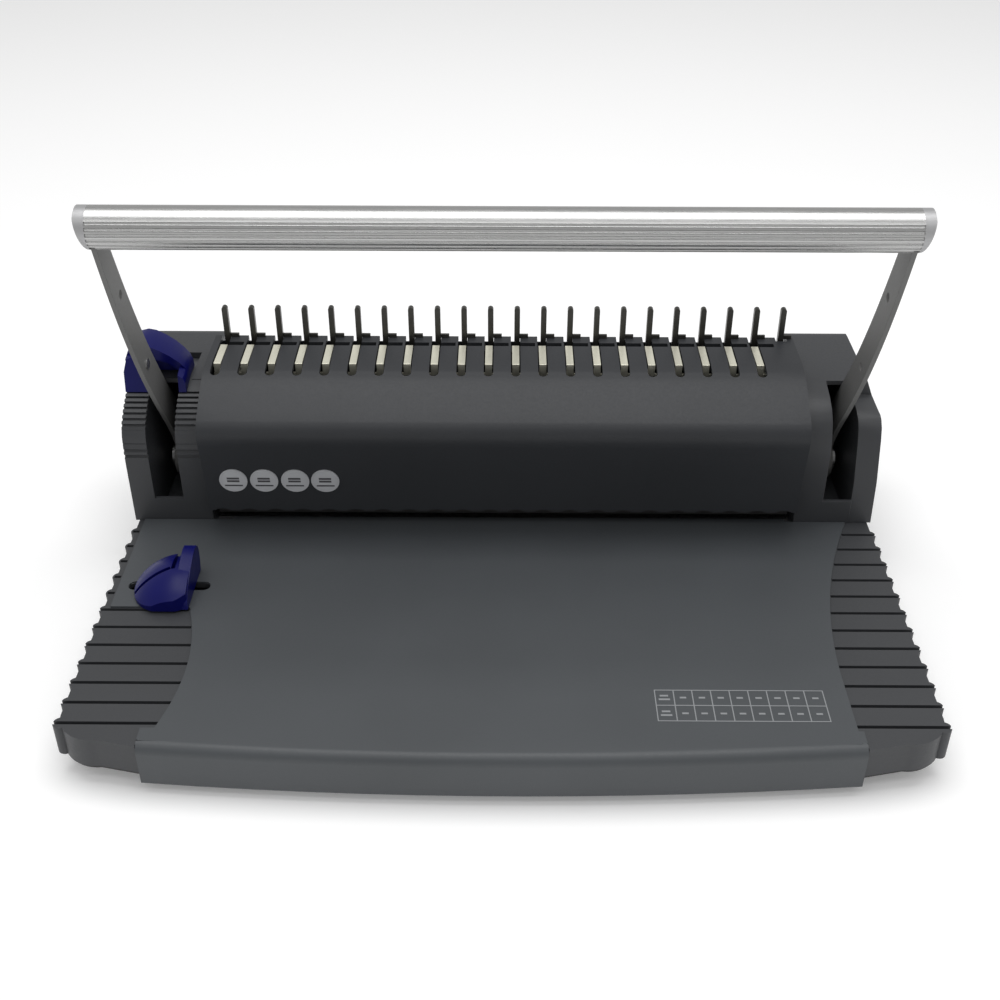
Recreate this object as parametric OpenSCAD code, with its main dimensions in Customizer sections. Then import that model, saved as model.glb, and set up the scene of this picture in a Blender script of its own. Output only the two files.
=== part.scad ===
// Comb binding machine. Millimetres. X to the right, Y to the back, Z up.
// The origin is under the middle of the machine, on the ground.

/* [Base] */
// Half width of the whole machine
half_w = 200; // [180:1:220]
// Half depth of the whole machine
half_d = 137; // [120:1:150]
// Height of the wings at the sides of the table
wing_z = 27; // [22:0.5:32]
// How far the table stands above the wings
table_rise = 1; // [0.5:0.25:2]
// Distance between the grooves on the wings
groove_pitch = 13.35; // [10:0.05:16]
// Width of each wing groove
groove_w = 1.9; // [0.8:0.1:2.5]

/* [Comb] */
// Number of punches and of slots in the top cover
punch_count = 21; // [11:1:21]
// Distance from one punch to the next
punch_pitch = 14.2875; // [12:0.0125:16]
// Width of each slot in the top cover
slot_w = 5; // [4.6:0.1:6]
// Height of the finger tips
finger_top = 128.6; // [118:0.2:135]

/* [Lever] */
// Shaft centre, front to back
shaft_y = 84; // [82:0.5:86]
// Shaft centre, height
shaft_z = 44; // [42:0.5:46]
// Bar centre, front to back, with the lever at rest
bar_y = 4; // [0:0.5:10]
// Bar centre, height, with the lever at rest
bar_z = 212; // [205:0.5:215]
// Radius of the handle bar
bar_r = 9.8; // [8:0.1:11]
// Forward bow of the lever arms
arm_bow = 2.6; // [0:0.1:5]
// How far the lower end of the arms curves to the back
arm_hook = 48; // [0:1:55]
// Width of the lever arms
arm_w = 18; // [14:0.5:20]

/* [Walls] */
// Wall thickness of the moulded covers
wall = 2.5; // [2:0.1:3]
// Running clearance of the shaft in its bushes
run_gap = 0.05; // [0.02:0.01:0.1]

/* [Hidden] */
$fn = 64;
table_z = wing_z + table_rise;
finger_y = 99;
deck_z = 110;
slot_shift = -0.8;
shaft_r = 5;
lean = atan2(shaft_y - bar_y, bar_z - shaft_z);
arm_len = norm([shaft_y - bar_y, bar_z - shaft_z]);
cover_in = 157.5;
cover_out = 199.9;
slot_in = 172;
slot_out = 187.5;
arm_in = 180;
arm_out = 182.5;
lip_r = 1832;

body_grey = [0.24, 0.25, 0.26];
dark_grey = [0.13, 0.14, 0.15];
blue = [0.05, 0.06, 0.32];
steel = [0.62, 0.63, 0.64];
alu = [0.78, 0.79, 0.80];
black = [0.04, 0.04, 0.04];

function finger_x(i) = (i - punch_count / 2) * punch_pitch;
function slot_x(i) = finger_x(i) + slot_shift;
function groove_y(k) = 32.6 - groove_pitch * k;
function right_edge(y) = 158 + 0.00172 * pow(max(y, -85) + 85, 2);
function left_edge(y) = -148 - 0.0038 * pow(y + 78, 2);

// A side profile given as depth and height, drawn out from x0 to x1.
module prism(x0, x1) {
    translate([x0, 0, 0])
        rotate([90, 0, 90])
            linear_extrude(x1 - x0) children();
}

// A round bar along X.
module xrod(r, x0, x1, y, z) {
    translate([x0, y, z])
        rotate([0, 90, 0])
            cylinder(r = r, h = x1 - x0);
}

// A box from one corner to the other.
module box(a, b) {
    translate(a) cube(b - a);
}

// The same thing on the right and on the left.
module both() {
    children();
    mirror([1, 0, 0]) children();
}

// ---------- base ----------

// Plan of the base, drawn inwards by d; the middle of the front is set back for the lip.
module base_plan(d) {
    for (s = [0, 1]) mirror([s, 0])
        difference() {
            union() {
                translate([180.8, -108]) circle(r = 17 - d);
                translate([185.8, 124.8]) circle(r = 12 - d);
                polygon([[0, -126 + d], [160.2, -126 + d], [160.2, -128.8 + d],
                    [178.4, -124.8 + d], [197.8 - d, -108], [197.8 - d, 124.8],
                    [185.8, 136.8 - d], [0, 136.8 - d]]);
            }
            translate([0, -140]) square([160.2, 14 + d]);
        }
}

module grooves(side) {
    first = side > 0 ? 0 : 5;
    for (k = [first : 11]) {
        y = groove_y(k);
        x0 = side > 0 ? right_edge(y) : -202;
        x1 = side > 0 ? 202 : left_edge(y);
        box([x0, y - groove_w / 2, wing_z - 1.9], [x1, y + groove_w / 2, wing_z + 2]);
    }
    if (side < 0)
        for (k = [0 : 4])
            box([-199, groove_y(k) - groove_w / 2, wing_z - 1.9],
                [-195.6, groove_y(k) + groove_w / 2, wing_z + 2]);
}

module guide_slot(z0, z1) {
    box([-186, -19.5, z0], [-151.5, -12.5, z1]);
    for (x = [-186, -151.5])
        translate([x, -16, z0]) cylinder(r = 3.5, h = z1 - z0);
}

module base_shell() {
    color(body_grey) difference() {
        union() {
            translate([0, 0, 11]) linear_extrude(wing_z - 11) base_plan(0);
            for (k = [0 : 11], s = [-1, 1])
                translate([s * 196.6, groove_y(k), k == 11 ? 11 : 15])
                    cylinder(r = 3.4, h = wing_z - (k == 11 ? 11 : 15));
        }
        difference() {
            translate([0, 0, 10]) linear_extrude(wing_z - wall - 10) base_plan(wall);
            for (s = [-1, 1])
                box([s * 154.5 - 4, -122, 10], [s * 154.5 + 4, 134, 26]);
        }
        box([-147.2, -123.3, 24], [153, 46, 30]);
        box([-155.2, 45.9, 24], [155.2, 134, 30]);
        box([-148.8, 130, 10], [148.8, 140, 22]);
        grooves(1);
        grooves(-1);
        guide_slot(20, 30);
        box([-160, -26, 18.5], [-150, -6, 24.1]);
    }
}

module base_tray() {
    color(dark_grey) difference() {
        union() {
            translate([0, 0, 9]) linear_extrude(2) base_plan(1);
            box([-186, -114, 3], [186, 124, 9]);
        }
        box([-183.5, -111.5, 5.5], [183.5, 121.5, 12]);
        box([-148.8, 118, 5.5], [148.8, 140, 12]);
    }
}

module rubber_feet() {
    color(black) for (x = [-170, 170], y = [-98, 108])
        translate([x, y, 0]) cylinder(r = 9, h = 3);
}

module base_screws() {
    color(steel) for (x = [-172, 172], y = [-70, 10, 80])
        translate([x, y, 1.6]) cylinder(r = 3.5, h = 1.4);
}

// Plan of the top sheet of the table: curved edges, and a flat area at the left rear.
module table_plan() {
    rows = [for (y = [-126 : 6 : 42]) y];
    left_rows = [for (y = [-37 : -5 : -122]) y];
    polygon(concat(
        [for (y = rows) [right_edge(y) - 0.4, y]],
        [[185.4, 43.2], [-194.6, 43.2], [-194.6, -32.8], [-155.6, -32.8], [-154.4, -34.5]],
        [for (y = left_rows) [left_edge(y) + 0.4, y]],
        [[-160, -126]]));
}

// Section of the front lip, with a rounded upper edge.
module lip_profile() {
    polygon(concat(
        [[lip_r - 30, 6], [lip_r, 6]],
        [for (a = [0 : 15 : 90]) [lip_r - 5 + 5 * cos(a), table_z - 5 + 5 * sin(a)]],
        [[lip_r - 30, table_z]]));
}

module work_table() {
    color(body_grey) difference() {
        union() {
            translate([0, 0, wing_z]) linear_extrude(table_rise) table_plan();
            box([-147, -123.1, 24], [152.8, 46, table_z]);
            intersection() {
                translate([0, lip_r - half_d, 0])
                    rotate([0, 0, -97]) rotate_extrude(angle = 14, $fn = 1440) lip_profile();
                union() {
                    box([-160, -140, 5], [160, -126.2, 29]);
                    box([-160, -140, wing_z], [160, -118, 29]);
                    box([-147, -140, 24], [152.8, -126.2, 29]);
                }
            }
        }
        grooves(-1);
        guide_slot(20, 30);
    }
}

// ---------- covers ----------

centre_outer = [[36.3, 38.6], [35.6, 52], [34, 65], [30.8, 81.5], [30.4, 85], [30.6, 88],
    [31.5, 90.7], [33, 93], [35.2, 94.9], [49, 103], [56.5, 106.6], [64, 108.9],
    [72, 110], [101, 110]];
centre_inner = [[38.8, 37], [38.1, 52.3], [36.5, 65.4], [33.3, 82], [33, 85], [33.2, 87.4],
    [33.9, 89.4], [35, 91.2], [36.8, 92.9], [50.2, 100.8], [57.4, 104.2], [64.6, 106.4],
    [72.2, 107.5], [102, 107.5]];

module centre_cover() {
    color(body_grey) difference() {
        prism(-157, 157) polygon(concat(centre_outer, [[101, 38.6]]));
        prism(-154.5, 154.5) polygon(concat(centre_inner, [[102, 37]]));
        for (i = [0 : punch_count - 1]) {
            x = slot_x(i);
            box([x - slot_w / 2, 62.5, 99], [x + slot_w / 2, 103, 112]);
            translate([x, 62.5, 99]) cylinder(r = slot_w / 2, h = 13);
            box([x, 89.6, 99], [x + 10.5, 93.4, 112]);
        }
        box([finger_x(punch_count) - 2.6, 96.5, 99], [153.5, 103, 112]);
        for (i = [0 : punch_count])
            translate([finger_x(i), 30, 30.4]) rotate([-90, 0, 0]) cylinder(r = 9.4, h = 12);
        box([-160, 60, 30], [160, 110, 50]);
    }
}

rear_outer = [[103, 106], [112, 100], [120, 94], [126.5, 86.5], [131, 77.5], [134.5, 66],
    [137, 50], [137, 27]];
rear_inner = [[104.5, 102.2], [110.4, 98], [118.2, 92.2], [124.4, 85.2], [128.7, 76.5],
    [132.1, 65.4], [134.5, 49.8], [134.5, 26]];

module rear_cover() {
    color(body_grey) difference() {
        prism(-157, 157) polygon(concat([[103, 27], [103, 60]], rear_outer));
        prism(-154.5, 154.5) polygon(concat([[102, 26], [102, 102.2]], rear_inner));
        box([-160, 100, 20], [160, 125, 60]);
        box([-149, 120, 20], [149, 134.5, 40]);
    }
}

side_outer = [[43.5, 27], [43.5, 60], [43.7, 70], [45.3, 79], [49, 86.6], [54.4, 91.8],
    [62, 95], [74, 97.6], [90, 98.6], [126, 98.6], [131, 97.4], [134.5, 93.6],
    [136.2, 88], [137, 60], [137, 27]];
side_inner = [[46, 26], [46, 60], [46.2, 69.7], [47.7, 78.2], [51, 85], [55.8, 89.6],
    [62.8, 92.6], [74.3, 95.1], [90, 96.1], [125.6, 96.1], [129.6, 95.2], [132.2, 92.4],
    [133.7, 87.5], [134.5, 60], [134.5, 26]];
pillar_outer = [[44, 27], [46.2, 52], [52, 74], [54.4, 80], [58.4, 84], [65, 86.4],
    [81, 89], [123, 85], [131, 81], [135, 74], [136.6, 60], [137, 27]];
pillar_inner = [[46.5, 26], [48.7, 51.7], [54.4, 73.1], [56.6, 78.6], [59.6, 81.7],
    [65.6, 83.9], [81.1, 86.4], [122.6, 82.5], [129.4, 79.2], [132.6, 73.4],
    [134.1, 59.8], [134.5, 26]];

// Everything closer to the shaft than r, and the low part at the rear up to a height.
module near_shaft(r, top) {
    translate([shaft_y, shaft_z]) circle(r = r, $fn = 160);
    translate([shaft_y - 45, 20]) square([100, 24]);
    translate([120, 20]) square([20, top - 20]);
}

// Grooves across the front corner, which leave a row of ribs between them.
module rib_grooves(x0, x1) {
    for (k = [0 : 11]) {
        a = 111 + k * 3.5;
        bottom = min((shaft_y - side_outer[0][0]) / abs(cos(a)), 54.2) - 1.3;
        translate([x0, shaft_y, shaft_z]) rotate([a - 90, 0, 0])
            translate([0, -0.75, bottom]) cube([x1 - x0, 1.5, 8]);
    }
}

module right_side_cover() {
    color(body_grey) difference() {
        union() {
            prism(cover_in, cover_out) difference() {
                polygon(side_outer);
                translate([20, 20]) square([10, 10]);
            }
        }
        // the slope along the outer top edge
        translate([0, 30, 0]) rotate([-90, 0, 0]) linear_extrude(110)
            polygon([[193.8, -99], [199.6, -85], [203, -85], [203, -112], [193.8, -112]]);
        // the outer pillar is lower in front
        prism(slot_out, 204) difference() {
            translate([30, 26]) square([46.5, 90]);
            polygon(pillar_outer);
        }
        box([slot_in, 30, 41], [slot_out, 75, 120]);
        prism(cover_in + wall, slot_in - wall) polygon(side_inner);
        prism(slot_in, slot_out) polygon(side_inner);
        prism(slot_out + wall, cover_out - wall) intersection() {
            polygon(pillar_inner);
            translate([30, 20]) square([110, 63]);
        }
        xrod(5.6, 150, slot_in + 1, shaft_y, shaft_z);
    }
}

module left_side_cover() {
    color(body_grey) difference() {
        union() {
            prism(-166.5, -cover_in) intersection() {
                polygon(side_outer);
                union() {
                    near_shaft(54.2, 70);
                    translate([74, 20]) square([70, 90]);
                }
            }
            prism(-cover_out, -166.5) intersection() {
                polygon(side_outer);
                union() {
                    near_shaft(54.2, 70);
                    translate([102.5, 20]) square([70, 90]);
                }
            }
        }
        rib_grooves(-205, -cover_in + 1);
        box([-slot_out, 30, 41], [-slot_in, 75, 120]);
        prism(-166.5, -cover_in - wall) intersection() {
            polygon(side_inner);
            union() {
                near_shaft(51.7, 67.5);
                translate([77, 20]) square([70, 90]);
            }
        }
        for (band = [[-slot_in + wall, -166.5], [-slot_out, -slot_in],
            [-cover_out + wall, -slot_out - wall]])
            prism(band[0], band[1]) intersection() {
                polygon(side_inner);
                union() {
                    near_shaft(51.7, 67.5);
                    translate([105, 20]) square([70, 90]);
                }
            }
        xrod(5.6, -slot_in - 1, -150, shaft_y, shaft_z);
    }
}

// ---------- inside ----------

module frame_plate() {
    prism(162, 164.5) difference() {
        polygon([[50, 27], [50, 76], [60, 88], [112, 88], [112, 27]]);
        translate([shaft_y, shaft_z]) circle(r = 8);
    }
}

module frame_left() {
    color(steel) mirror([1, 0, 0]) frame_plate();
}

module frame_right() {
    color(steel) frame_plate();
}

module shaft_bushes() {
    color(alu) both() difference() {
        xrod(8, 161, 166.5, shaft_y, shaft_z);
        xrod(shaft_r + run_gap, 160, 168, shaft_y, shaft_z);
    }
}

module punch_holes(z0, z1, grow) {
    for (i = [0 : punch_count - 1])
        box([slot_x(i) - 3.5 - grow, 54.5 - grow, z0], [slot_x(i) + 3.5 + grow, 57.5 + grow, z1]);
}

module die_plate() {
    color(steel) difference() {
        box([-155, 46, 24], [155, 66, table_z]);
        punch_holes(20, 30, 0.1);
    }
}

module guide_plate() {
    color(steel) difference() {
        box([-154.3, 46, 31], [154.3, 66, 35]);
        punch_holes(30, 36, 0.1);
    }
}

module throat_spacers() {
    color(steel) both() box([146, 58.4, 28], [153, 61.9, 31]);
}

module paper_stop() {
    color(steel) box([-153, 62, 28], [153, 66, 31]);
}

module punch_bar() {
    color(steel) union() {
        box([-148, 51, 44], [148, 61, 52]);
        both() difference() {
            box([144.5, 61, 43.5], [148, 78.3, 52.5]);
            box([140, 72, 48 - 1.62], [150, 80, 48 + 1.62]);
        }
    }
}

module punches() {
    color(alu) punch_holes(32.4, 44, 0);
}

module rake_guides() {
    color(dark_grey) both() box([144.5, 58, 85], [154.5, 94, 91.95]);
}

module hook_rake() {
    color(alu) union() {
        box([-153, 69.5, 92], [153, 71, 104]);
        for (i = [0 : punch_count - 1]) {
            x = slot_x(i);
            box([x - 1.9, 69.5, 103], [x + 1.9, 71, 109.2]);
            box([x - 1.9, 69.5, 108.1], [x + 1.9, 91, 109.6]);
        }
        both() difference() {
            union() {
                box([139.5, 70, 80], [143, 93, 98]);
                box([139.5, 83.6, 49.4], [143, 92.6, 84]);
            }
            box([139, 88 - 1.62, 50.8], [144, 88 + 1.62, 55.3]);
        }
    }
}

module finger_bar() {
    color(dark_grey) box([-154.5, 95, 95], [154.5, 101.2, 104]);
}

module comb_fingers() {
    color(steel) for (i = [0 : punch_count]) {
        x = finger_x(i);
        box([x - 1.5, finger_y - 1.5, 104], [x + 1.5, finger_y + 1.5, finger_top - 1.5]);
        translate([x, finger_y - 1.5, finger_top - 1.5]) rotate([-90, 0, 0])
            cylinder(r = 1.5, h = 3);
        box([x + 1, finger_y, deck_z + 0.05], [min(x + 6, 156), finger_y + 1.5, deck_z + 2]);
    }
}

// ---------- lever ----------

module cross_shaft() {
    color(steel) xrod(shaft_r, -182.5, 182.5, shaft_y, shaft_z);
}

module crank() {
    difference() {
        union() {
            xrod(13, 149, 152, shaft_y, shaft_z);
            xrod(1.5, 144, 149.5, shaft_y - 9.46 * cos(25), shaft_z + 9.46 * sin(25));
            xrod(1.5, 139, 149.5, shaft_y + 9.46 * sin(25), shaft_z + 9.46 * cos(25));
        }
        xrod(shaft_r, 130, 160, shaft_y, shaft_z);
    }
}

module crank_right() {
    color(steel) crank();
}

module crank_left() {
    color(steel) mirror([1, 0, 0]) crank();
}

// A point on the arm's side view: t along it, s across it to the front.
function arm_at(t, s) =
    let (b = arm_bow * sin(180 * pow(t, 1.6)) - arm_hook * sqrt(t) * pow(1 - t, 5) + s,
         y = shaft_y - t * arm_len * sin(lean) - b * cos(lean),
         z = shaft_z + t * arm_len * cos(lean) - b * sin(lean))
    [y, z];

module arm_plan() {
    rows = [for (i = [0 : 24]) i / 24 * 0.985];
    back_rows = [for (i = [24 : -1 : 0]) i / 24 * 0.985];
    polygon(concat(
        [for (t = rows) arm_at(t, arm_w / 2 - 2 * pow(t, 3))],
        [for (t = back_rows) arm_at(t, -arm_w / 2 + 2 * pow(t, 3))]));
}

module lever_arm() {
    x0 = arm_in;
    x1 = arm_out;
    upper = arm_at(0.76, -1);
    lower = arm_at(0.47, 1);
    difference() {
        union() {
            prism(x0, x1) arm_plan();
            xrod(11, x0, x1, shaft_y, shaft_z);
            xrod(7, x0, x1, bar_y, bar_z);
        }
        xrod(shaft_r, x0 - 1, x1 + 1, shaft_y, shaft_z);
        xrod(2.4, x0 - 1, x1 + 1, upper[0], upper[1]);
        xrod(2.2, x0 - 1, x1 + 1, lower[0], lower[1]);
    }
}

module arm_left() {
    color(steel) mirror([1, 0, 0]) lever_arm();
}

module arm_right() {
    color(steel) lever_arm();
}

module arm_screws() {
    color(steel) both() difference() {
        xrod(6.5, 182.5, 184.8, shaft_y, shaft_z);
        translate([184, shaft_y, shaft_z]) rotate([0, 90, 0]) cylinder(r = 2.5, h = 2, $fn = 6);
    }
}

module arm_rivets() {
    p = arm_at(0.47, 1);
    color(alu) mirror([1, 0, 0]) {
        xrod(2.2, arm_in, arm_out, p[0], p[1]);
        xrod(2.7, arm_in - 0.6, arm_in, p[0], p[1]);
    }
}

// Half plane below the bar's centre, square to the arm.
module below_bar() {
    translate([bar_y, bar_z]) rotate(lean) translate([-30, -60]) square([60, 57.4]);
}

module handle_bar() {
    color(alu) difference() {
        xrod(bar_r, -182.5, 182.5, bar_y, bar_z);
        for (k = [0 : 11])
            translate([-190, bar_y, bar_z]) rotate([149 + k * 15.5, 0, 0])
                translate([0, bar_r + 0.15, 0]) rotate([0, 90, 0])
                    cylinder(r = 0.85, h = 380, $fn = 24);
        both() {
            xrod(7.05, arm_in, 184, bar_y, bar_z);
            prism(arm_in, 184) below_bar();
        }
    }
}

// The end cap's outer face leans in towards the bottom.
module cap_right() {
    difference() {
        xrod(bar_r, 182.5, 187.5, bar_y, bar_z);
        translate([182.5, bar_y, bar_z]) rotate([lean - 12, 0, 0])
            rotate([90, 0, 0]) translate([0, 0, -30]) linear_extrude(60)
                polygon([[5.1, 8.5], [0.4, -9.5], [8, -12], [8, 8.5]]);
    }
}

module handle_cap_right() {
    color(alu) cap_right();
}

module handle_cap_left() {
    color(alu) mirror([1, 0, 0]) cap_right();
}

// ---------- blue parts ----------

// Turns a section given as (distance from the shaft, place along X) round the shaft.
module round_shaft(a0, a1) {
    translate([0, shaft_y, shaft_z])
        rotate([90 - a1, 0, 0]) rotate([0, 90, 0]) rotate([0, 0, 90])
            rotate_extrude(angle = a1 - a0, $fn = 180) children();
}

module saddle_cheeks() {
    polygon([[54.7, -199.9], [64, -199.9], [70, -198], [72, -193], [72, -188.1], [54.7, -188.1]]);
    polygon([[54.7, -171.7], [62.5, -171.7], [61, -169], [59, -167.9], [54.7, -167.6]]);
}

module saddle_crest() {
    polygon([[60, -199.9], [67, -199.8], [72, -197.6], [75, -193.6], [76, -189.6],
        [75.2, -185.5], [72.6, -180.6], [69.2, -175.8], [65.4, -171.8], [61.6, -169],
        [58.6, -167.9], [54.7, -167.6], [54.7, -171.7], [60, -172.5], [65, -178],
        [67, -184], [67, -188.1], [60, -188.1]]);
}

module comb_stop() {
    color(blue) difference() {
        union() {
            round_shaft(-25, 4) saddle_cheeks();
            round_shaft(-10, 4) saddle_crest();
            round_shaft(-2, 4) polygon([[54.7, -171], [60, -172], [66, -180], [68, -188.2],
                [54.7, -188.2]]);
        }
        // the front of both cheeks leans back
        translate([-210, shaft_y, shaft_z]) rotate([25, 0, 0])
            translate([0, 0, 50]) rotate([-38, 0, 0]) translate([0, -60, 0]) cube([60, 60, 50]);
    }
}

// Plan and side view of the knob: a domed lobe at the left and an upright fin at the right.
module edge_guide_knob() {
    knob_y = -20.5;
    color(blue) difference() {
        union() {
            intersection() {
                translate([-167.4, knob_y, 28.2]) cylinder(r = 17.4, h = 30, $fn = 120);
                translate([-160.5, knob_y + 4, 9.5]) sphere(r = 32.5, $fn = 120);
                box([-190, -37, 28], [-156, 4, 60]);
            }
            prism(-161.5, -155.5) {
                polygon([[-35.5, 28.2], [-34.6, 31.5], [-32, 35], [-27, 38.8], [-20, 42],
                    [-13, 44.4], [-8.5, 45.3], [-4, 44.6], [-1.6, 42.4], [-0.6, 39],
                    [-1, 34], [-2.5, 28.2]]);
            }
        }
        translate([-164.8, knob_y + 2, 37]) rotate([0, 4, 0]) translate([-1.1, -1, 0])
            cube([2.2, 22, 12]);
        translate([-164.4, knob_y + 2.4, 33.8]) rotate([0, 12, 200]) translate([0, -1.1, 0])
            cube([22, 2.2, 14]);
    }
}

module edge_guide_shoe() {
    color(dark_grey) union() {
        box([-175, -19.2, 24.3], [-164, -12.8, 28.2]);
        box([-177, -24, 20.5], [-162, -8, 23.95]);
        box([-175, -19.2, 23.5], [-164, -12.8, 24.5]);
    }
}

// ---------- drawer, badges and chart ----------

module chip_drawer() {
    color(dark_grey) difference() {
        box([-148, 36, 6], [148, 136.6, 21.5]);
        box([-146, 38, 8], [146, 132, 30]);
        box([-25, 134.6, 10], [25, 140, 18]);
    }
}

module spec_badges() {
    color(alu) for (x = [-141.7, -125.5, -109.2, -93.4])
        translate([x, 34.675, 59]) rotate([97, 0, 0]) difference() {
            cylinder(r = 7.35, h = 0.7);
            translate([0, 0, 0.5]) difference() {
                cylinder(r = 6.7, h = 1);
                cylinder(r = 6.2, h = 1);
            }
        }
}

module size_chart() {
    color(alu) {
        for (j = [0 : 2])
            box([69.5, -112.4 + j * 10.05, table_z], [146.8, -111.9 + j * 10.05, table_z + 0.15]);
        for (i = [0 : 9])
            box([69.5 + i * 8.533, -112.4, table_z], [70 + i * 8.533, -91.8, table_z + 0.15]);
    }
}

base_shell();
base_tray();
rubber_feet();
base_screws();
work_table();
centre_cover();
rear_cover();
left_side_cover();
right_side_cover();
frame_left();
frame_right();
shaft_bushes();
die_plate();
guide_plate();
throat_spacers();
paper_stop();
punch_bar();
punches();
rake_guides();
hook_rake();
finger_bar();
comb_fingers();
cross_shaft();
crank_left();
crank_right();
arm_left();
arm_right();
arm_screws();
arm_rivets();
handle_bar();
handle_cap_left();
handle_cap_right();
comb_stop();
edge_guide_knob();
edge_guide_shoe();
chip_drawer();
spec_badges();
size_chart();
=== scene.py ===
"""Looks of the comb binding machine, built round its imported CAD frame. Metres, X right, Y back, Z up."""

import math

import bpy
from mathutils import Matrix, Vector


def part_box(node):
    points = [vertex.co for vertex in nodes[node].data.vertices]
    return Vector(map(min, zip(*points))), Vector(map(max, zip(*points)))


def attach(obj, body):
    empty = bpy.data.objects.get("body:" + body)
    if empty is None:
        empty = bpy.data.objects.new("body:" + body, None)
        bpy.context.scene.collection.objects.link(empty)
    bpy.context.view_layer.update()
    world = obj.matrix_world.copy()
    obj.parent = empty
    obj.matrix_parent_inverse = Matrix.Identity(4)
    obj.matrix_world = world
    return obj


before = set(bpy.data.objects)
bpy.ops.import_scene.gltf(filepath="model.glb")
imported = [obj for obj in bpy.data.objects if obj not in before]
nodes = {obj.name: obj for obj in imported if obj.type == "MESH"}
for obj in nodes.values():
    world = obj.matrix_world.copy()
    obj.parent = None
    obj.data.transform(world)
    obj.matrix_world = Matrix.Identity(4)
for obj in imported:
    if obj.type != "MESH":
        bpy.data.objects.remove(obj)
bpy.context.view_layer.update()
scene = bpy.context.scene

MM = 0.001

# The part of a noise's range that is spread over a colour or a roughness.
NOISE_LOW, NOISE_HIGH = 0.3, 0.7
BROAD_SCALE, BROAD_DETAIL, FINE_DETAIL = 14, 3.0, 2.0
ROUGH_BELOW, ROUGH_ABOVE = 0.04, 0.05

SEAM_REACH = 1e-6
ROUNDING_SEGMENTS = 3
HARD_EDGE = math.radians(32)
FACE_WEIGHT = 60


# ---------- materials ----------


def new_material(name):
    """A material with only a Principled shader, and the tools to wire it."""
    mat = bpy.data.materials.new(name)
    mat.use_nodes = True
    tree = mat.node_tree
    shader = tree.nodes["Principled BSDF"]
    return mat, tree, shader


def noise(tree, scale, detail, stretch):
    """Noise in the object's own coordinates."""
    place = tree.nodes.new("ShaderNodeTexCoord")
    mapping = tree.nodes.new("ShaderNodeMapping")
    mapping.inputs["Scale"].default_value = stretch
    texture = tree.nodes.new("ShaderNodeTexNoise")
    texture.inputs["Scale"].default_value = scale
    texture.inputs["Detail"].default_value = detail
    tree.links.new(place.outputs["Object"], mapping.inputs["Vector"])
    tree.links.new(mapping.outputs["Vector"], texture.inputs["Vector"])
    return texture


def ramp(tree, source, low, high):
    """Maps a noise to a range of colours."""
    node = tree.nodes.new("ShaderNodeValToRGB")
    first, last = node.color_ramp.elements
    first.position, last.position = NOISE_LOW, NOISE_HIGH
    first.color, last.color = (*low, 1), (*high, 1)
    tree.links.new(source.outputs["Fac"], node.inputs["Fac"])
    return node


def spread(tree, source, low, high):
    """Maps a noise to a range of numbers."""
    node = tree.nodes.new("ShaderNodeMapRange")
    node.inputs["From Min"].default_value = NOISE_LOW
    node.inputs["From Max"].default_value = NOISE_HIGH
    node.inputs["To Min"].default_value = low
    node.inputs["To Max"].default_value = high
    tree.links.new(source.outputs["Fac"], node.inputs["Value"])
    return node


def bump(tree, shader, source, strength, distance):
    """Presses a noise into the surface as a fine relief."""
    node = tree.nodes.new("ShaderNodeBump")
    node.inputs["Strength"].default_value = strength
    node.inputs["Distance"].default_value = distance
    tree.links.new(source.outputs["Fac"], node.inputs["Height"])
    tree.links.new(node.outputs["Normal"], shader.inputs["Normal"])


def tint(colour, factor):
    """A lighter or darker copy of a colour."""
    return tuple(c * factor for c in colour)


def surface(
    name, colour, rough, metal=0.0, specular=0.5, vary=0.06, grain=(900, 0.25, 0.00006),
    stretch=(1, 1, 1),
):
    """One finish. Its colour and roughness vary a little, and its grain is a fine bump.

    The grain is the noise's scale and the bump's strength and distance.
    """
    mat, tree, shader = new_material(name)
    shader.inputs["Metallic"].default_value = metal
    shader.inputs["Specular IOR Level"].default_value = specular
    broad = noise(tree, BROAD_SCALE, BROAD_DETAIL, stretch)
    colours = ramp(tree, broad, tint(colour, 1 - vary), tint(colour, 1 + vary))
    tree.links.new(colours.outputs["Color"], shader.inputs["Base Color"])
    scale, strength, distance = grain
    fine = noise(tree, scale, FINE_DETAIL, stretch)
    rough_range = spread(tree, fine, rough - ROUGH_BELOW, rough + ROUGH_ABOVE)
    tree.links.new(rough_range.outputs["Result"], shader.inputs["Roughness"])
    if strength:
        bump(tree, shader, fine, strength, distance)
    return mat


TABLE_GREY = (0.061, 0.067, 0.073)
WING_GREY = (0.041, 0.043, 0.047)
COVER_GREY = (0.030, 0.032, 0.036)
SIDE_GREY = (0.042, 0.044, 0.048)

# The handle bar is brushed along X, so its noise is stretched that way.
BRUSHED_ALONG_X = (0.03, 1, 1)
NO_GRAIN = (900, 0, 0)

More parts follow.
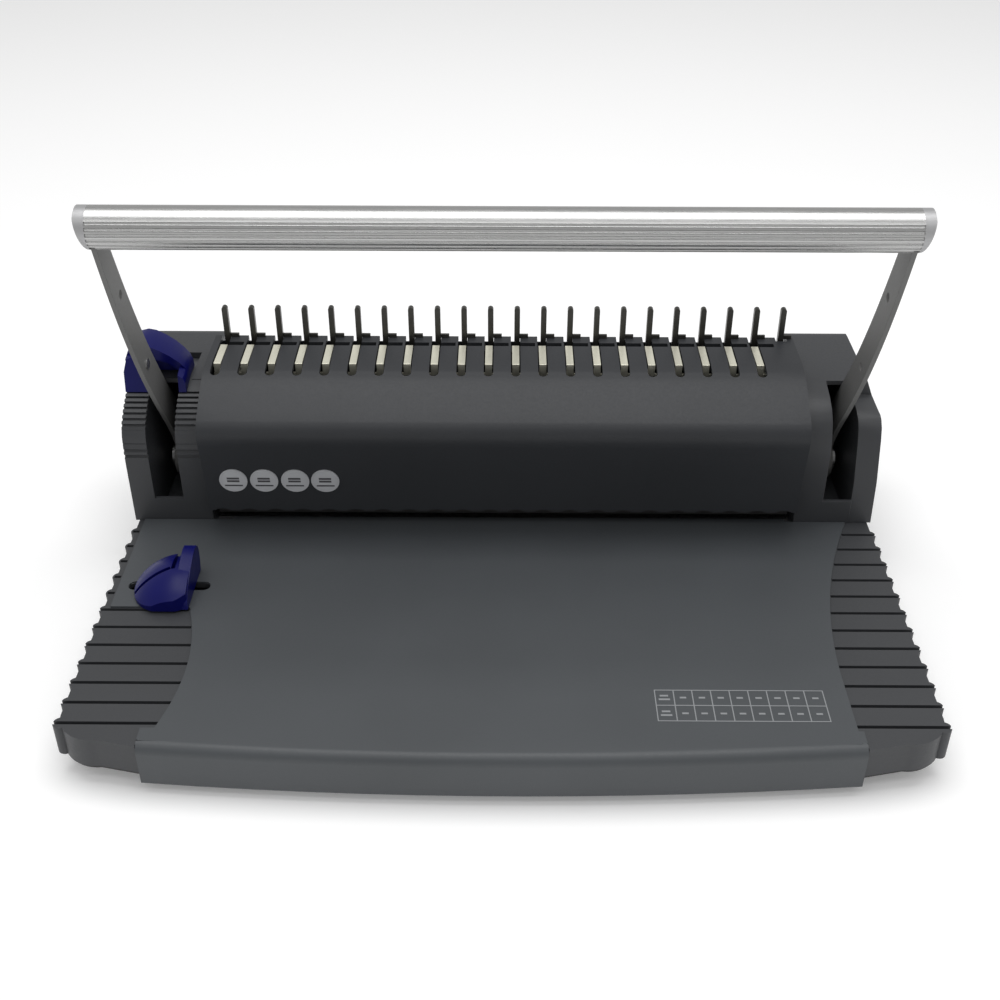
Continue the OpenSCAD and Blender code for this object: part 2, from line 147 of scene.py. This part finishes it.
FINISHES = {
    "table": surface("table_plastic", TABLE_GREY, 0.46),
    "base": surface("base_plastic", WING_GREY, 0.5),
    "cover": surface("cover_plastic", COVER_GREY, 0.46, specular=0.35),
    "side": surface("side_plastic", SIDE_GREY, 0.44, specular=0.4),
    "black": surface("black_plastic", (0.012, 0.012, 0.012), 0.5),
    "rubber": surface("foot_rubber", (0.015, 0.015, 0.015), 0.8),
    "blue": surface(
        "blue_plastic", (0.002, 0.003, 0.09), 0.34, specular=0.22, vary=0.1,
        grain=(120, 0.04, 0.0002),
    ),
    "bar": surface(
        "bar_aluminium", (0.47, 0.47, 0.465), 0.27, metal=0.9, vary=0.02,
        grain=(1500, 0.02, 0.00002), stretch=BRUSHED_ALONG_X,
    ),
    "cap": surface("cap_silver", (0.42, 0.42, 0.425), 0.42, metal=0.55, vary=0.04),
    "arm": surface("arm_metal", (0.17, 0.17, 0.167), 0.55, metal=0.1, specular=0.3, vary=0.05),
    "steel": surface("plate_steel", (0.40, 0.40, 0.41), 0.35, metal=1.0, vary=0.08),
    "brass": surface("bush_brass", (0.60, 0.45, 0.2), 0.3, metal=1.0),
    "screw": surface("screw_steel", (0.5, 0.5, 0.5), 0.3, metal=1.0),
    "hook": surface("hook_zinc", (0.86, 0.84, 0.70), 0.34, metal=0.6, vary=0.2),
    # The comb fingers are chromed. Their dark base colour is a painted reflection of dark surroundings,
    # not the steel's own colour.
    "finger": surface("finger_steel", (0.075, 0.073, 0.066), 0.34, metal=0.7, vary=0.2),
    "print": surface("light_print", (0.50, 0.51, 0.53), 0.6, grain=NO_GRAIN),
    "ink": surface("dark_print", (0.07, 0.07, 0.075), 0.6, grain=NO_GRAIN),
    "chart": surface("chart_print", (0.26, 0.27, 0.28), 0.6, grain=NO_GRAIN),
}

NODE_FINISH = {
    "base_shell": "base", "base_tray": "black", "rubber_feet": "rubber",
    "base_screws": "screw", "work_table": "table", "centre_cover": "cover",
    "rear_cover": "cover", "left_side_cover": "side", "right_side_cover": "side",
    "frame_left": "steel", "frame_right": "steel", "shaft_bushes": "brass",
    "die_plate": "steel", "guide_plate": "black", "throat_spacers": "black",
    "paper_stop": "black", "rake_guides": "black", "finger_bar": "black",
    "comb_fingers": "finger", "spec_badges": "print", "size_chart": "chart",
    "cross_shaft": "steel", "crank_left": "steel", "crank_right": "steel",
    "arm_left": "arm", "arm_right": "arm", "arm_screws": "screw",
    "arm_rivets": "screw", "handle_bar": "bar", "handle_cap_left": "cap",
    "handle_cap_right": "cap", "punch_bar": "steel", "punches": "steel",
    "hook_rake": "hook", "comb_stop": "blue", "edge_guide_knob": "blue",
    "edge_guide_shoe": "black", "chip_drawer": "black",
}

# Width in mm of the rounding along each node's hard edges.
NODE_ROUNDING = {
    "base_shell": 0.5, "base_tray": 0.5, "work_table": 0.3, "centre_cover": 0.5,
    "rear_cover": 0.8, "left_side_cover": 0.25, "right_side_cover": 1.0,
    "arm_left": 0.4, "arm_right": 0.4, "handle_cap_left": 0.8,
    "handle_cap_right": 0.8, "comb_stop": 0.6, "edge_guide_knob": 0.6,
    "hook_rake": 0.25, "comb_fingers": 0.25, "rubber_feet": 0.6,
    "chip_drawer": 0.5, "edge_guide_shoe": 0.3,
}


def round_edges(obj, width):
    """Closes the seams between the mesh's faces and rounds its hard edges."""
    weld = obj.modifiers.new("join", "WELD")
    weld.merge_threshold = SEAM_REACH
    bevel = obj.modifiers.new("round", "BEVEL")
    bevel.width = width * MM
    bevel.segments = ROUNDING_SEGMENTS
    bevel.limit_method = "ANGLE"
    bevel.angle_limit = HARD_EDGE
    bevel.harden_normals = False
    even = obj.modifiers.new("even", "WEIGHTED_NORMAL")
    even.keep_sharp = False
    even.weight = FACE_WEIGHT


def smooth_faces(obj):
    """Drops the mesh's stored normals and shades every face smoothly."""
    mesh = obj.data
    if mesh.has_custom_normals:
        with bpy.context.temp_override(object=obj, active_object=obj):
            bpy.context.view_layer.objects.active = obj
            bpy.ops.mesh.customdata_custom_splitnormals_clear()
    mesh.polygons.foreach_set("use_smooth", [True] * len(mesh.polygons))
    mesh.update()


for name, finish in NODE_FINISH.items():
    obj = nodes[name]
    obj.data.materials.clear()
    obj.data.materials.append(FINISHES[finish])
    if name in NODE_ROUNDING:
        smooth_faces(obj)
        round_edges(obj, NODE_ROUNDING[name])


# ---------- printed marks ----------


def plate(name, size, place, finish, tilt=0.0, parent="root"):
    """A thin printed plate, centred on a place. The tilt turns it about X."""
    sx, sy, sz = (v / 2 for v in size)
    corners = [(x, y, z) for x in (-sx, sx) for y in (-sy, sy) for z in (-sz, sz)]
    faces = [
        (0, 1, 3, 2), (4, 6, 7, 5), (0, 4, 5, 1), (2, 3, 7, 6), (0, 2, 6, 4), (1, 5, 7, 3),
    ]
    turned = []
    c, s = math.cos(tilt), math.sin(tilt)
    for x, y, z in corners:
        turned.append(
            (place[0] + x, place[1] + y * c - z * s, place[2] + y * s + z * c)
        )
    mesh = bpy.data.meshes.new(name)
    mesh.from_pydata(turned, [], faces)
    mesh.update()
    piece = bpy.data.objects.new(name, mesh)
    scene.collection.objects.link(piece)
    mesh.materials.append(FINISHES[finish])
    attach(piece, parent)
    return piece


# Share of a cell's width that its dashes take; the first column has two.
HEAD_DASHES, CELL_DASHES = [0.6, 0.45], [0.34]
DASH_DEPTH, DASH_THICK, DASH_LIFT, DASH_STEP = 1.1 * MM, 0.1 * MM, 0.06 * MM, 2.4 * MM

chart_low, chart_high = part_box("size_chart")
columns, rows = 9, 2
cell_w = (chart_high.x - chart_low.x) / columns
cell_d = (chart_high.y - chart_low.y) / rows
for column in range(columns):
    for row in range(rows):
        x = chart_low.x + (column + 0.5) * cell_w
        y = chart_low.y + (row + 0.5) * cell_d
        shares = HEAD_DASHES if column == 0 else CELL_DASHES
        for line, share in enumerate(shares):
            step = (line - (len(shares) - 1) / 2) * DASH_STEP
            plate(
                f"chart_mark_{column}_{row}_{line}",
                (cell_w * share, DASH_DEPTH, DASH_THICK),
                (x, y + step, chart_low.z + DASH_LIFT),
                "chart",
            )

BADGE_R = 7.35 * MM
BADGE_COUNT = 4
BADGE_TILT = math.radians(7)
BADGE_FACE = 0.9 * MM
BAR_THICK, BAR_LIFT = 0.12 * MM, 0.05 * MM
# Each bar's share of the usable width, its height and how far it is above the middle.
BADGE_BARS = ((0.55, 1.2, 1.6), (0.55, 1.2, -0.2), (0.8, 0.9, -3.1))
USABLE_WIDTH = BADGE_R * 2 * 0.8

badge_low, badge_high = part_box("spec_badges")
badge_pitch = (badge_high.x - badge_low.x - 2 * BADGE_R) / (BADGE_COUNT - 1)
for i in range(BADGE_COUNT):
    x = badge_low.x + BADGE_R + i * badge_pitch
    y = badge_low.y + BADGE_FACE
    z = (badge_low.z + badge_high.z) / 2
    for j, (share, height, up) in enumerate(BADGE_BARS):
        dz = up * MM
        plate(
            f"badge_mark_{i}_{j}",
            (USABLE_WIDTH * share, BAR_THICK, height * MM),
            (x, y - dz * math.sin(BADGE_TILT) - BAR_LIFT, z + dz),
            "ink", tilt=BADGE_TILT,
        )


# ---------- stage, lights and camera ----------

FLOOR_REACH = 6.0
FLOOR_WHITE = (0.93, 0.93, 0.93, 1)
FLOOR_GLOW = 0.16
WORLD_STRENGTH = 0.5

floor_mesh = bpy.data.meshes.new("floor")
floor_corners = [(x * FLOOR_REACH, y * FLOOR_REACH, 0) for x, y in ((-1, -1), (1, -1), (1, 1), (-1, 1))]
floor_mesh.from_pydata(floor_corners, [], [(0, 1, 2, 3)])
floor = bpy.data.objects.new("floor", floor_mesh)
scene.collection.objects.link(floor)
floor_mat, floor_tree, floor_shader = new_material("pale_floor")
floor_shader.inputs["Base Color"].default_value = FLOOR_WHITE
floor_shader.inputs["Roughness"].default_value = 0.9
floor_shader.inputs["Specular IOR Level"].default_value = 0.1
floor_shader.inputs["Emission Color"].default_value = (1, 1, 1, 1)
floor_shader.inputs["Emission Strength"].default_value = FLOOR_GLOW
floor_mesh.materials.append(floor_mat)

world = bpy.data.worlds.new("studio")
world.use_nodes = True
world.node_tree.nodes["Background"].inputs["Color"].default_value = (1, 1, 1, 1)
world.node_tree.nodes["Background"].inputs["Strength"].default_value = WORLD_STRENGTH
scene.world = world


def area_light(name, place, target, size, power):
    """A rectangular lamp at a place, turned towards a target."""
    data = bpy.data.lights.new(name, "AREA")
    data.shape = "RECTANGLE"
    data.size, data.size_y = size
    data.energy = power
    lamp = bpy.data.objects.new(name, data)
    lamp.location = place
    lamp.rotation_euler = (Vector(target) - Vector(place)).to_track_quat("-Z", "Y").to_euler()
    scene.collection.objects.link(lamp)


# Name, place, target, size in metres and power in watts.
LAMPS = (
    ("overhead", (0, 0.15, 1.5), (0, 0, 0.05), (1.5, 0.9), 12.5),
    ("front_strip", (0, -0.76, 1.35), (0, 0, 0.2), (1.7, 0.2), 2.4),
    ("right", (1.3, 0.4, 1.2), (0, 0, 0.08), (0.8, 0.8), 0.2),
)
for lamp in LAMPS:
    area_light(*lamp)

CAMERA_LENS, CAMERA_SENSOR = 47.2, 36
CAMERA_PLACE = (0.001, -0.5412, 0.4363)
# Degrees about X, Y and Z.
CAMERA_TURN = (55.95, -0.10, 0.33)

camera_data = bpy.data.cameras.new("camera")
camera_data.lens = CAMERA_LENS
camera_data.sensor_width = CAMERA_SENSOR
camera = bpy.data.objects.new("camera", camera_data)
camera.location = CAMERA_PLACE
camera.rotation_euler = [math.radians(angle) for angle in CAMERA_TURN]
scene.collection.objects.link(camera)
scene.camera = camera
scene.view_settings.view_transform = "Standard"
